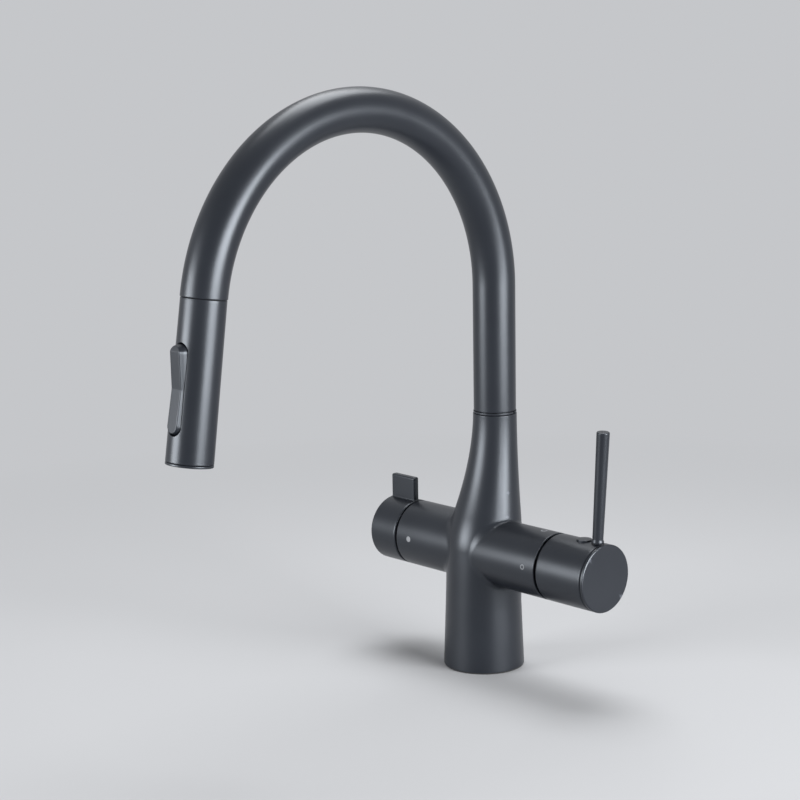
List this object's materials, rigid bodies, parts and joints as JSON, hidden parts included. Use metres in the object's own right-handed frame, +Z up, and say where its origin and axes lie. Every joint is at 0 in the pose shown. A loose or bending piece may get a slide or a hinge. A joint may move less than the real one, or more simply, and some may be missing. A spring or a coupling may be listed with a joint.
{
  "type": "water filter kitchen mixer tap",
  "caption": "Gooseneck kitchen mixer tap with a side pin lever, a second knob for filtered water, and a pull-out spray head with a rocker button.",
  "frame": {"origin": "centre of the column on the worktop, on the gasket's underside", "axes": "+Z up; the spout reaches towards -Y; the mixing knob and its pin lever are on +X, the filtered-water knob on -X"},
  "size_m": [0.1974, 0.2823, 0.4638],
  "materials": {
    "satin_black": "satin black coating",
    "black_plastic": "moulded, matte",
    "black_rubber": "matte",
    "grey_silicone": "soft silicone",
    "brass": "turned",
    "steel": "bright",
    "white_plastic": "moulded",
    "ceramic": "lapped",
    "hose_braid": "woven braid"
  },
  "bodies": {
    "base": {"body_casting": "satin_black", "deck_gasket": "black_rubber", "inlet_manifold": "brass", "manifold_seals": "black_rubber", "manifold_clip": "steel", "check_valves": "white_plastic", "fixing_stud": "steel", "clamp_rubber": "black_rubber", "clamp_plate": "steel", "stud_nut": "brass", "hose_riser": "hose_braid", "hose_coupling": "brass", "upper_bush": "white_plastic", "lower_bush": "white_plastic", "swivel_o_rings": "black_rubber", "swivel_ring": "black_plastic", "swing_stop_screw": "steel", "mixer_cartridge": "white_plastic", "mixer_fixed_disc": "ceramic", "mixer_seals": "black_rubber", "mixer_cartridge_nut": "brass", "filter_valve": "brass", "filter_fixed_disc": "ceramic", "filter_seals": "black_rubber", "filter_valve_nut": "brass"},
    "spout": {"spout_tube": "satin_black", "spout_spigot": "brass", "dock_collar": "black_plastic", "spray_hose": "hose_braid"},
    "spray_head": {"hose_tail": "hose_braid", "hose_nut": "brass", "hose_nut_seal": "black_rubber", "inlet_screen": "steel", "head_shell": "satin_black", "head_insert": "black_plastic", "head_screw": "black_plastic", "rocker_pin": "steel", "spray_face": "black_plastic", "spray_nozzles": "grey_silicone", "aerator": "black_plastic", "face_ring": "black_plastic"},
    "rocker_button": {"rocker": "satin_black"},
    "diverter": {"diverter_spool": "brass", "spool_seals": "black_rubber"},
    "mixer_carrier": {"mixer_stem": "steel", "mixer_moving_disc": "ceramic", "lever_carrier": "steel", "carrier_screw": "steel"},
    "mixer_handle": {"mixer_knob": "satin_black", "mixer_end_disc": "satin_black", "pin_lever": "satin_black", "screw_plug": "satin_black", "rock_pin": "steel"},
    "filter_handle": {"filter_spindle": "brass", "filter_moving_disc": "ceramic", "filter_knob": "satin_black", "filter_paddle": "satin_black", "filter_screw": "steel"}
  },
  "joints": [
    {"name": "spout_swivel", "type": "hinge", "parent": "base", "child": "spout", "pos_m": [0, 0.0122, 0.1722], "axis": [0, 0, 1], "range_deg": [-60, 60]},
    {"name": "spray_pull_out", "type": "slide", "parent": "spout", "child": "spray_head", "axis": [0, -0.1513, -0.9885], "range_m": [0, 0.15], "deforming": ["hose_tail"]},
    {"name": "rocker_toggle", "type": "hinge", "parent": "spray_head", "child": "rocker_button", "pos_m": [0, -0.24556, 0.22191], "axis": [1, 0, 0], "range_deg": [-6.9, 0]},
    {"name": "diverter_slide", "type": "slide", "parent": "spray_head", "child": "diverter", "axis": [0, 0.1513, 0.9885], "range_m": [-0.001, 0]},
    {"name": "mixer_temperature", "type": "hinge", "parent": "base", "child": "mixer_carrier", "pos_m": [0.0662, 0, 0.0795], "axis": [1, 0, 0], "range_deg": [0, 90]},
    {"name": "mixer_flow", "type": "hinge", "parent": "mixer_carrier", "child": "mixer_handle", "pos_m": [0.0715, 0, 0.06463], "axis": [0, 1, 0], "range_deg": [0, 12]},
    {"name": "filter_turn", "type": "hinge", "parent": "base", "child": "filter_handle", "pos_m": [-0.0614, 0, 0.0795], "axis": [1, 0, 0], "range_deg": [0, 90]}
  ],
  "couplings": [
    {"joint": "diverter_slide", "follows": "rocker_toggle", "m_per_rad": 0.0082}
  ]
}
